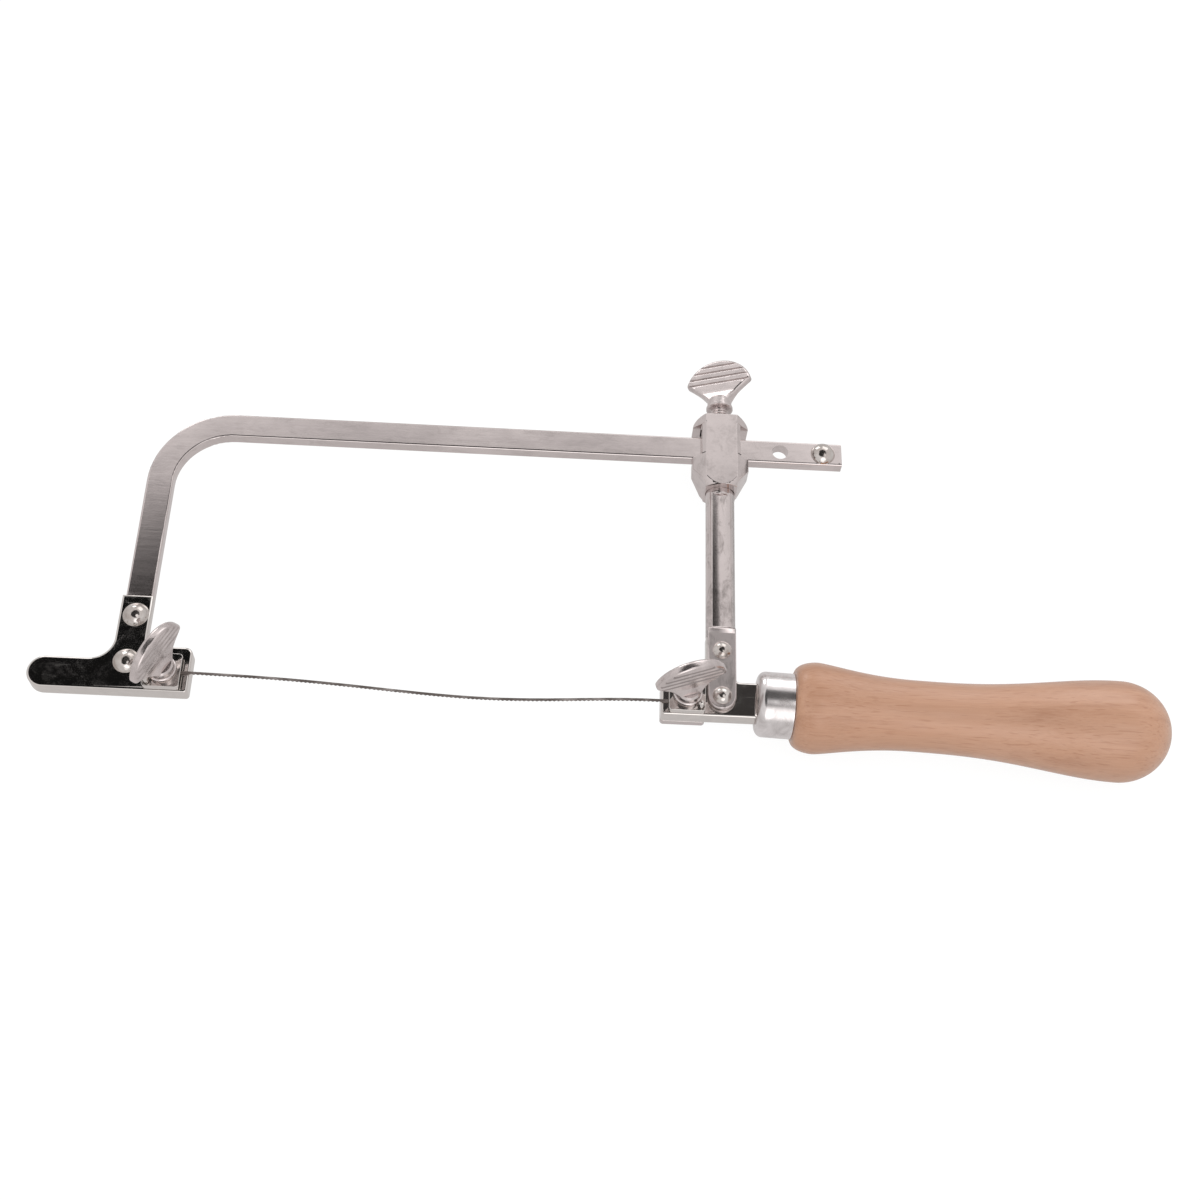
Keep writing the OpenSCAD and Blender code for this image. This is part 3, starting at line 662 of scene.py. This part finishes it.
def rivet(name, x, y, z_low, z_high, base_r=RIVET_R, rise=RIVET_RISE):
    """Two heads on one shank, placed through the plates."""
    shank = turned(name + "_shank", [(z_low, SHANK_R), (z_high, SHANK_R)], 24)
    front = dome(name + "_front", base_r, rise)
    settle(front, Matrix.Translation((0, 0, z_high * MM)))
    back = dome(name + "_back", BACK_RIVET_R, BACK_RIVET_RISE)
    settle(back, Matrix.Translation((0, 0, z_low * MM)) @ Matrix.Rotation(math.pi, 4, "X"))
    made = joined([front, back, shank], name)
    settle(made, Matrix.Translation(spot(x, y, 0)))
    smooth(made)
    return made


class SAW_OT_rivets(bpy.types.Operator):
    """Adds the domed rivets of foot, bar end and rear jaw"""
    bl_idname = "saw.rivets"
    bl_label = "Rivets"

    def execute(self, context):
        finish = finish_of("nickel_hammered")
        front = joined([rivet("front_high", *FRONT_HIGH, -BAR_HALF, JAW_FACE),
                        rivet("front_low", *FRONT_LOW, -BAR_HALF, JAW_FACE)], "rivets_front")
        rear = joined([rivet("rear_high", *REAR_HIGH, -JAW_FACE, TONGUE_TOP, REAR_RIVET_R, REAR_RIVET_RISE),
                       rivet("rear_low", *REAR_LOW, -JAW_FACE, TONGUE_TOP, REAR_RIVET_R, REAR_RIVET_RISE)],
                      "rivets_rear")
        stop = rivet("rivet_stop", *STOP, -BAR_HALF, BAR_HALF)
        for made, body, node in ((front, "bar", "front_rivets"), (rear, "frame", "rear_rivets"),
                                 (stop, "bar", "stop_rivet")):
            made.data.materials.append(finish)
            fit(made, body, "polished_nickel", node)
        return {"FINISHED"}


class SAW_OT_guide_pins(bpy.types.Operator):
    """Adds the two round-topped guide pins"""
    bl_idname = "saw.guide_pins"
    bl_label = "Guide Pins"

    def execute(self, context):
        radius = PIN_R
        top = JAW_FACE + PIN_HEIGHT
        steps = 6
        stations = [(-JAW_FACE / 2, radius), (top - radius, radius)]
        for i in range(1, steps + 1):
            angle = math.radians(90 * i / steps)
            height = top - radius + radius * math.sin(angle)
            stations.append((height, max(radius * math.cos(angle), POINT_R)))
        for body, node, x in (("bar", "front_guide_pin", FOOT_END - SCREW_SET - PIN_SET),
                              ("frame", "rear_guide_pin", REAR_JAW + SCREW_SET + PIN_SET)):
            pin = turned("pin_" + body, stations, 32)
            settle(pin, Matrix.Translation(spot(x, -PIN_SET, 0)))
            smooth(pin)
            pin.data.materials.append(finish_of("nickel_bright"))
            fit(pin, body, "polished_nickel", node)
        return {"FINISHED"}


class SAW_OT_clamp_plates(bpy.types.Operator):
    """Adds the two clamp plates over the blade's ends"""
    bl_idname = "saw.clamp_plates"
    bl_label = "Clamp Plates"

    def execute(self, context):
        for body, node in (("front_clamp", "front_clamp_plate"), ("rear_clamp", "rear_clamp_plate")):
            plate = softened(node, "plate_" + body, width=0.15, finish=finish_of("nickel_bright"),
                             segments=2)
            fit(plate, body, "polished_nickel", node)
        return {"FINISHED"}


def wing_outline():
    """Points (across, up) in millimetres round the spade: flared flanks, round tips and a round top."""
    crown = WING_TOP - WING_TIP
    crown_r = (WING_HALF ** 2 + crown ** 2) / (2 * crown)
    middle = WING_TOP - crown_r
    corner = WING_HALF - WING_CORNER
    corner_up = middle + math.sqrt((crown_r - WING_CORNER) ** 2 - corner ** 2)
    steep = math.radians(50)
    first = math.atan2(corner_up - middle, corner)
    start, last = NECK_R * 0.85, corner + WING_CORNER * math.cos(steep)
    rise = corner_up - WING_CORNER * math.sin(steep) - NECK_TOP
    flank_steps, corner_steps, crown_steps, flare = 8, 8, 32, 1.3
    side = []
    for i in range(flank_steps + 1):
        share = i / flank_steps
        side.append((start + (last - start) * share ** flare, NECK_TOP + rise * share))
    for i in range(1, corner_steps):
        angle = -steep + (first + steep) * i / corner_steps
        side.append((corner + WING_CORNER * math.cos(angle), corner_up + WING_CORNER * math.sin(angle)))
    arc = []
    for i in range(crown_steps + 1):
        angle = first + (math.pi - 2 * first) * i / crown_steps
        arc.append((crown_r * math.cos(angle), middle + crown_r * math.sin(angle)))
    return side + arc + [(-x, h) for x, h in reversed(side)]


def wing_half_thickness(height):
    """Half the wing's thickness at a height, both in millimetres."""
    thin = WING_THICK / 2
    if height > WEDGE_KINK:
        return thin
    return thin + (WEDGE_HALF - thin) * (WEDGE_KINK - height) / (WEDGE_KINK - WEDGE_LOW)


def wing():
    """The wing standing on the XZ plane about Z, with a rolled rim and grooved faces."""
    outline = wing_outline()
    deselect()
    bpy.ops.mesh.primitive_circle_add(vertices=len(outline), radius=MM, fill_type="NGON")
    blank = bpy.context.object
    blank.name = "wing"
    for vertex, (x, h) in zip(blank.data.vertices, outline):
        vertex.co = (x * MM, -NECK_R * MM, h * MM)
    bpy.ops.object.mode_set(mode="EDIT")
    bpy.ops.mesh.select_all(action="SELECT")
    bpy.ops.mesh.extrude_region_move(TRANSFORM_OT_translate={"value": (0, 2 * NECK_R * MM, 0)})
    bpy.ops.mesh.select_all(action="SELECT")
    bpy.ops.mesh.normals_make_consistent(inside=False)
    bpy.ops.object.mode_set(mode="OBJECT")
    wedge = wedge_block()
    apply_modifier(blank, "BOOLEAN", operation="INTERSECT", object=wedge, solver="EXACT")
    bpy.data.objects.remove(wedge)
    roll_rim(blank)
    cuts = groove_bars()
    apply_modifier(blank, "BOOLEAN", operation="DIFFERENCE", object=cuts, solver="EXACT")
    bpy.data.objects.remove(cuts)
    return blank


def mark_grooves(top, groove_shade):
    """Stores on each face how much painted shade darkens it, which is nothing but in the grooves."""
    layer = top.data.attributes.new("groove", "FLOAT", "FACE")
    for face, cell in zip(top.data.polygons, layer.data):
        across, up = abs(face.normal.x), abs(face.normal.z)
        tilted = across < 0.02 and up > 0.25
        inside = GROOVED_FROM * MM < face.center.z < GROOVED_TO * MM
        cell.value = groove_shade if tilted and inside else 0.0


def wedge_block():
    """A block that is thick at the neck and thin from where the flat faces begin."""
    deselect()
    bpy.ops.mesh.primitive_cube_add(size=2)
    block = bpy.context.object
    thin, high = WING_THICK / 2, WING_TOP + 1
    for vertex in block.data.vertices:
        across = math.copysign(BLOCK_HALF * MM, vertex.co.x)
        side = math.copysign(1, vertex.co.y)
        if vertex.co.z < 0:
            vertex.co = (across, side * WEDGE_HALF * MM, WEDGE_LOW * MM)
        else:
            vertex.co = (across, side * thin * MM, WEDGE_KINK * MM)
    bpy.ops.object.mode_set(mode="EDIT")
    bpy.ops.mesh.select_all(action="DESELECT")
    bpy.ops.object.mode_set(mode="OBJECT")
    for face in block.data.polygons:
        face.select = face.normal.z > 0.9
    bpy.ops.object.mode_set(mode="EDIT")
    bpy.ops.mesh.select_mode(type="FACE")
    bpy.ops.mesh.extrude_region_move(TRANSFORM_OT_translate={"value": (0, 0, (high - WEDGE_KINK) * MM)})
    bpy.ops.mesh.select_all(action="SELECT")
    bpy.ops.mesh.normals_make_consistent(inside=False)
    bpy.ops.object.mode_set(mode="OBJECT")
    return block


def roll_rim(blank):
    """Rounds the long rim edges of both flat faces above the neck."""
    only(blank)
    bpy.ops.object.mode_set(mode="EDIT")
    bpy.ops.mesh.select_all(action="SELECT")
    bpy.ops.mesh.remove_doubles(threshold=MERGE)
    bpy.ops.mesh.dissolve_limited(angle_limit=FLAT)
    bpy.ops.mesh.select_mode(type="EDGE")
    bpy.ops.mesh.select_all(action="DESELECT")
    bpy.ops.object.mode_set(mode="OBJECT")
    mesh = blank.data
    face_room, level_room, long_edge = 0.02 * MM, 0.001 * MM, 2 * MM
    for edge in mesh.edges:
        ends = [mesh.vertices[i].co for i in edge.vertices]
        on_face = all(abs(abs(co.y) - wing_half_thickness(co.z / MM) * MM) < face_room for co in ends)
        level = abs(ends[0].z - ends[1].z) < level_room and abs(ends[0].x - ends[1].x) > long_edge
        edge.select = on_face and ends[0].y * ends[1].y > 0 and not level
    bpy.ops.object.mode_set(mode="EDIT")
    bpy.ops.mesh.bevel(offset=WING_RIM * MM, segments=6, profile=0.5, clamp_overlap=False)
    bpy.ops.object.mode_set(mode="OBJECT")


def groove_bars():
    """Tilted bars that cut the ramped grooves of both faces."""
    bars = []
    wide, deep, tilt = GROOVE_WIDTH, GROOVE_BAR, GROOVE_TILT
    first = WING_TOP - GROOVE_PITCH * 1.4
    for i in range(GROOVES):
        up = first - i * GROOVE_PITCH + wide / 2 + math.sin(tilt) * deep / 2
        out = WING_THICK / 2 - wide / 2 * math.tan(tilt) + math.cos(tilt) * deep / 2
        for face in (-1, 1):
            deselect()
            bpy.ops.mesh.primitive_cube_add(
                size=1, location=(0, face * out * MM, up * MM), rotation=(face * tilt, 0, 0),
                scale=(2 * BLOCK_HALF * MM, deep * MM, wide / math.cos(tilt) * MM))
            bpy.ops.object.transform_apply(location=True, rotation=True, scale=True)
            bars.append(bpy.context.object)
    return joined(bars, "groove_bars")


def screw_stations(length):
    """Threaded shank, collar and neck, from the shank's tip up."""
    pitch, crest, root = THREAD_PITCH, THREAD_CREST, THREAD_ROOT
    tip_r, collar_r, throat_r = 1.7, 3.4, 2.7
    stations = [(-length, tip_r), (-length + 0.3, root)]
    height = -length + 0.4
    while height + pitch < -0.2:
        stations += [(height, root), (height + 0.3 * pitch, crest), (height + 0.5 * pitch, crest),
                     (height + 0.8 * pitch, root)]
        height += pitch
    stations += [(-0.1, root), (0, 2.5), (0.0, 3.1), (0.2, collar_r), (0.8, collar_r), (1.0, 3.12),
                 (1.1, NECK_R), (2.7, NECK_R), (3.2, throat_r)]
    return stations


class SAW_OT_thumb_screws(bpy.types.Operator):
    """Adds the three thumb screws"""
    bl_idname = "saw.thumb_screws"
    bl_label = "Thumb Screws"

    def execute(self, context):
        settings = saw_settings()
        blank = wing()
        level = Matrix.Identity(4)
        upright = Matrix.Rotation(math.radians(-90), 4, "X")
        # How much painted shade darkens the grooves of each wing
        front_groove_shade, rear_groove_shade, slide_groove_shade = 0.28, 0.6, 0.1
        places = (
            ("front_screw", "front_thumb_screw", front_groove_shade, BLADE_SCREW_LENGTH,
             spot(FOOT_END - SCREW_SET, 0, CLAMP_TOP), level, settings.front_turn),
            ("rear_screw", "rear_thumb_screw", rear_groove_shade, BLADE_SCREW_LENGTH,
             spot(REAR_JAW + SCREW_SET, 0, CLAMP_TOP), level, settings.rear_turn),
            ("slide_screw", "slide_thumb_screw", slide_groove_shade, SLIDE_COLLAR - SHOE_TOP,
             spot(POST, SLIDE_COLLAR, 0), upright, -settings.slide_turn),
        )
        for body, node, groove_shade, length, foot, stand, turn in places:
            matrix = Matrix.Translation(foot) @ stand @ Matrix.Rotation(turn, 4, "Z")
            only(blank)
            bpy.ops.object.duplicate()
            top = bpy.context.object
            mark_grooves(top, groove_shade)
            shank = turned("shank", screw_stations(length), 64)
            screw = joined([top, shank], "screw_" + body)
            settle(screw, matrix)
            smooth(screw, 30)
            screw.data.materials.append(finish_of("nickel_cast"))
            fit(screw, body, "satin_nickel", node)
        bpy.data.objects.remove(blank)
        return {"FINISHED"}


class SAW_OT_blade(bpy.types.Operator):
    """Adds the slack toothed blade"""
    bl_idname = "saw.blade"
    bl_label = "Blade"

    def execute(self, context):
        blade = merged_copy("blade", "blade_strip")
        blade.data.materials.append(finish_of("steel_blade"))
        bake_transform(blade)
        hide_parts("blade")
        return {"FINISHED"}


class SAW_OT_slide_head(bpy.types.Operator):
    """Adds the faceted head and the shoe in its window"""
    bl_idname = "saw.slide_head"
    bl_label = "Slide Head"

    def execute(self, context):
        head = softened("slide_head", "head_faceted", width=0.15, finish=finish_of("nickel_satin"),
                        segments=2)
        fit(head, "frame", "satin_nickel", "slide_head")
        shoe = softened("pressure_shoe", "shoe_block", width=0.1, finish=finish_of("steel_milled"),
                        segments=1)
        fit(shoe, "shoe", "plain_steel", "pressure_shoe")
        return {"FINISHED"}


class SAW_OT_post(bpy.types.Operator):
    """Adds the post with its flats and tongue"""
    bl_idname = "saw.post"
    bl_label = "Post"

    def execute(self, context):
        post = softened("post", "post_round", width=0.45, finish=finish_of("nickel_upright"), segments=4)
        fit(post, "frame", "satin_nickel", "post")
        return {"FINISHED"}


class SAW_OT_rear_jaw(bpy.types.Operator):
    """Adds the rear jaw and its nut plate"""
    bl_idname = "saw.rear_jaw"
    bl_label = "Rear Jaw"

    def execute(self, context):
        jaw = rolled("rear_jaw", "jaw_plate", saw_settings().plate_round, finish_of("nickel_bright"))
        fit(jaw, "frame", "polished_nickel", "rear_jaw")
        nut = softened("rear_nut_plate", "nut_plate", width=0.2, finish=finish_of("nickel_brushed"),
                       segments=2)
        fit(nut, "frame", "satin_nickel", "rear_nut_plate")
        return {"FINISHED"}


def lie_along_tang(piece, start):
    """Turns a form made about Z on to the drooping line of the tang."""
    matrix = (Matrix.Translation(spot(FERRULE, 0, 0)) @ Matrix.Rotation(math.radians(-DROOP), 4, "Z")
              @ Matrix.Translation((start * MM, 0, 0)) @ Matrix.Rotation(math.radians(90), 4, "Y"))
    settle(piece, matrix)


class SAW_OT_ferrule(bpy.types.Operator):
    """Adds the bright turned ferrule"""
    bl_idname = "saw.ferrule"
    bl_label = "Ferrule"

    def execute(self, context):
        radius, lip, length = 7.78, 1.9, FERRULE_LENGTH
        steps = 12
        stations = [(1.0, 0.3), (1.0, 5.0), (0.25, 5.15), (0.0, 5.4)]
        for i in range(steps + 1):
            angle = math.radians(90 * i / steps)
            stations.append((lip - lip * math.cos(angle), radius - lip + lip * math.sin(angle)))
        stations += [(length - 0.25, radius), (length, radius - 0.2)]
        cap = turned("ferrule_cap", stations, 128)
        lie_along_tang(cap, 0)
        smooth(cap, 40)
        cap.data.materials.append(finish_of("nickel_dull"))
        fit(cap, "frame", "polished_nickel", "ferrule")
        return {"FINISHED"}


def ease(share):
    """From 0 to 1, starting and ending level."""
    return (1 - math.cos(math.pi * share)) / 2


def handle_stations():
    """(distance, radius) along the handle: rounded face, bulb, waist, swell and rounded end."""
    face_r, bulb_r, waist_r, swell_r, tail_r = 8.2, 10.85, 8.45, 12.03, 0.05
    bulb_at, waist_at, swell_at, end = 5.4, 29.0, 77.3, 12.35
    bulb_steps, waist_steps, swell_steps, end_steps = 12, 30, 40, 30
    early, late = 0.65, 1.4
    stations = [(0.0, 5.0)]
    for i in range(bulb_steps):
        angle = math.radians(90 * i / bulb_steps)
        stations.append((bulb_at * (1 - math.cos(angle)), face_r + (bulb_r - face_r) * math.sin(angle)))
    for i in range(waist_steps):
        share = i / waist_steps
        stations.append((bulb_at + (waist_at - bulb_at) * share,
                         bulb_r + (waist_r - bulb_r) * ease(share ** early)))
    for i in range(swell_steps):
        share = i / swell_steps
        stations.append((waist_at + (swell_at - waist_at) * share,
                         waist_r + (swell_r - waist_r) * ease(share ** late)))
    for i in range(end_steps + 1):
        angle = math.radians(90 * i / end_steps)
        stations.append((swell_at + end * math.sin(angle), max(swell_r * math.cos(angle), tail_r)))
    return stations


class SAW_OT_handle(bpy.types.Operator):
    """Adds the turned beech handle"""
    bl_idname = "saw.handle"
    bl_label = "Handle"

    def execute(self, context):
        grip = turned("handle_turned", handle_stations(), 128)
        lie_along_tang(grip, FERRULE_LENGTH)
        smooth(grip, 40)
        grip.data.materials.append(finish_of("beech_lacquered"))
        fit(grip, "frame", "beech", "handle")
        return {"FINISHED"}


def cosine(degrees):
    """The cosine of an angle in degrees."""
    return math.cos(math.radians(degrees))


def toward(finish, way, direction):
    """How nearly a ray points in a direction: the cosine between them."""
    return finish.node("ShaderNodeVectorMath", {"operation": "DOT_PRODUCT"}, {0: way, 1: direction},
                       output="Value")


def studio_world():
    """White behind the saw; in reflections a pale studio with one dark place overhead."""
    scene = bpy.context.scene
    world = bpy.data.worlds.new("studio")
    scene.world = world
    finish = Finish("studio", world)
    way = finish.node("ShaderNodeTexCoord", output="Generated")
    dark_way = tuple(Vector((-0.05, 0.0, 1.0)).normalized())
    dark = finish.between(toward(finish, way, dark_way), cosine(33.2), cosine(30.4), 0.0, 1.0)
    wall, ceiling = (0.74, 0.725, 0.72), (0.93, 0.91, 0.905)
    height = finish.node("ShaderNodeSeparateXYZ", {}, {0: way}, output="Z")
    pale = finish.mix(finish.between(height, 0.2, 0.85, 0.0, 1.0), wall, ceiling)
    black, dark_grey = (0.008, 0.008, 0.008), (0.05, 0.047, 0.046)
    across = finish.node("ShaderNodeSeparateXYZ", {}, {0: way}, output="X")
    shadow = finish.mix(finish.between(across, -0.2, 0.1, 0.0, 1.0), black, dark_grey)
    room = finish.mix(dark, pale, shadow)
    lit_patches = (((0.25, -0.25, 0.93), 7, 12, 1.3), ((0.15, -0.82, 0.55), 10, 24, 1.9))
    for direction, inner, outer, gain in lit_patches:
        near = toward(finish, way, tuple(Vector(direction).normalized()))
        share = finish.between(near, cosine(outer), cosine(inner), 0.0, 1.0)
        room = finish.mix(share, room, (gain, gain * 0.985, gain * 0.98))
    seen = finish.node("ShaderNodeLightPath", output="Is Camera Ray")
    glossy = finish.node("ShaderNodeLightPath", output="Is Glossy Ray")
    above = toward(finish, way, (0, -0.1, 0.995))
    horizon, zenith = (0.16, 0.158, 0.158), (1.52, 1.51, 1.50)
    shade = finish.mix(finish.between(above, -0.1, 1.0, 0.0, 1.0), horizon, zenith)
    soft = finish.node("ShaderNodeBackground", {}, {"Color": shade, "Strength": 1.25})
    mirror = finish.node("ShaderNodeBackground", {}, {"Color": room, "Strength": 1.0})
    white = finish.node("ShaderNodeBackground", {}, {"Color": (1, 1, 1, 1), "Strength": 1.0})
    lit = finish.node("ShaderNodeMixShader", {}, {0: glossy, 1: soft, 2: mirror})
    last = finish.node("ShaderNodeMixShader", {}, {0: seen, 1: lit, 2: white})
    end = finish.tree.nodes.new("ShaderNodeOutputWorld")
    finish.tree.links.new(last.socket, end.inputs["Surface"])


def lamp(name, place, size, power):
    """A square area lamp that looks at the saw."""
    deselect()
    bpy.ops.object.light_add(type="AREA", location=place)
    made = bpy.context.object
    made.name = name
    made.data.energy = power
    made.data.size = size
    made.rotation_euler = (-Vector(place)).to_track_quat("-Z", "Y").to_euler()


def camera_at(elevation, azimuth, roll, distance, target, focal_pixels):
    """A camera that looks at a point of the saw from a given side."""
    el, az = math.radians(elevation), math.radians(azimuth)
    back = Vector((math.sin(az) * math.cos(el), -math.cos(az) * math.cos(el), math.sin(el)))
    right = Vector((math.cos(az), math.sin(az), 0))
    up = Vector((-math.sin(az) * math.sin(el), math.cos(az) * math.sin(el), math.cos(el)))
    turn = math.radians(roll)
    across = math.cos(turn) * right + math.sin(turn) * up
    over = -math.sin(turn) * right + math.cos(turn) * up
    place = target + back * distance
    matrix = Matrix((across, over, back)).transposed().to_4x4()
    matrix.translation = place
    deselect()
    bpy.ops.object.camera_add()
    camera = bpy.context.object
    camera.name = "camera_photo"
    camera.matrix_world = matrix
    camera.data.sensor_width = SENSOR
    camera.data.lens = focal_pixels / PHOTO_PIXELS * SENSOR
    camera.data.clip_start = 0.01
    bpy.context.scene.camera = camera


class SAW_OT_stage(bpy.types.Operator):
    """Adds the floor, the soft light and the camera"""
    bl_idname = "saw.stage"
    bl_label = "Stage"

    def execute(self, context):
        deselect()
        floor_size = 6
        bpy.ops.mesh.primitive_plane_add(size=floor_size)
        floor = bpy.context.object
        floor.name = "floor"
        floor.data.materials.append(finish_of("paper_floor"))
        studio_world()
        lamp("key_lamp", place=(0.35, 1.0, 0.62), size=0.7, power=1.6)
        lamp("fill_lamp", place=(-0.55, 1.2, 0.42), size=0.45, power=1.5)
        camera_at(elevation=62, azimuth=-3.3, roll=5.6, distance=0.42, target=spot(110, 25.8, 0),
                  focal_pixels=1730)
        context.scene.view_settings.view_transform = "Standard"
        return {"FINISHED"}


PIECES = (
    SAW_OT_frame_bar, SAW_OT_front_foot, SAW_OT_rivets, SAW_OT_guide_pins, SAW_OT_clamp_plates,
    SAW_OT_thumb_screws, SAW_OT_blade, SAW_OT_slide_head, SAW_OT_post, SAW_OT_rear_jaw,
    SAW_OT_ferrule, SAW_OT_handle, SAW_OT_stage,
)


class SAW_PT_panel(bpy.types.Panel):
    """Lists the saw's pieces"""
    bl_label = "Fret Saw"
    bl_idname = "SAW_PT_panel"
    bl_space_type = "VIEW_3D"
    bl_region_type = "UI"
    bl_category = "Fret Saw"

    def draw(self, context):
        for name in SawSettings.__annotations__:
            self.layout.prop(context.scene.fret_saw, name)
        for piece in PIECES:
            self.layout.operator(piece.bl_idname)


def register():
    bpy.utils.register_class(SawSettings)
    bpy.types.Scene.fret_saw = bpy.props.PointerProperty(type=SawSettings)
    for piece in PIECES:
        bpy.utils.register_class(piece)
    bpy.utils.register_class(SAW_PT_panel)


def unregister():
    bpy.utils.unregister_class(SAW_PT_panel)
    for piece in reversed(PIECES):
        bpy.utils.unregister_class(piece)
    del bpy.types.Scene.fret_saw
    bpy.utils.unregister_class(SawSettings)


def main():
    register()
    for piece in PIECES:
        group, name = piece.bl_idname.split(".")
        getattr(getattr(bpy.ops, group), name)()


if __name__ == "__main__":
    main()
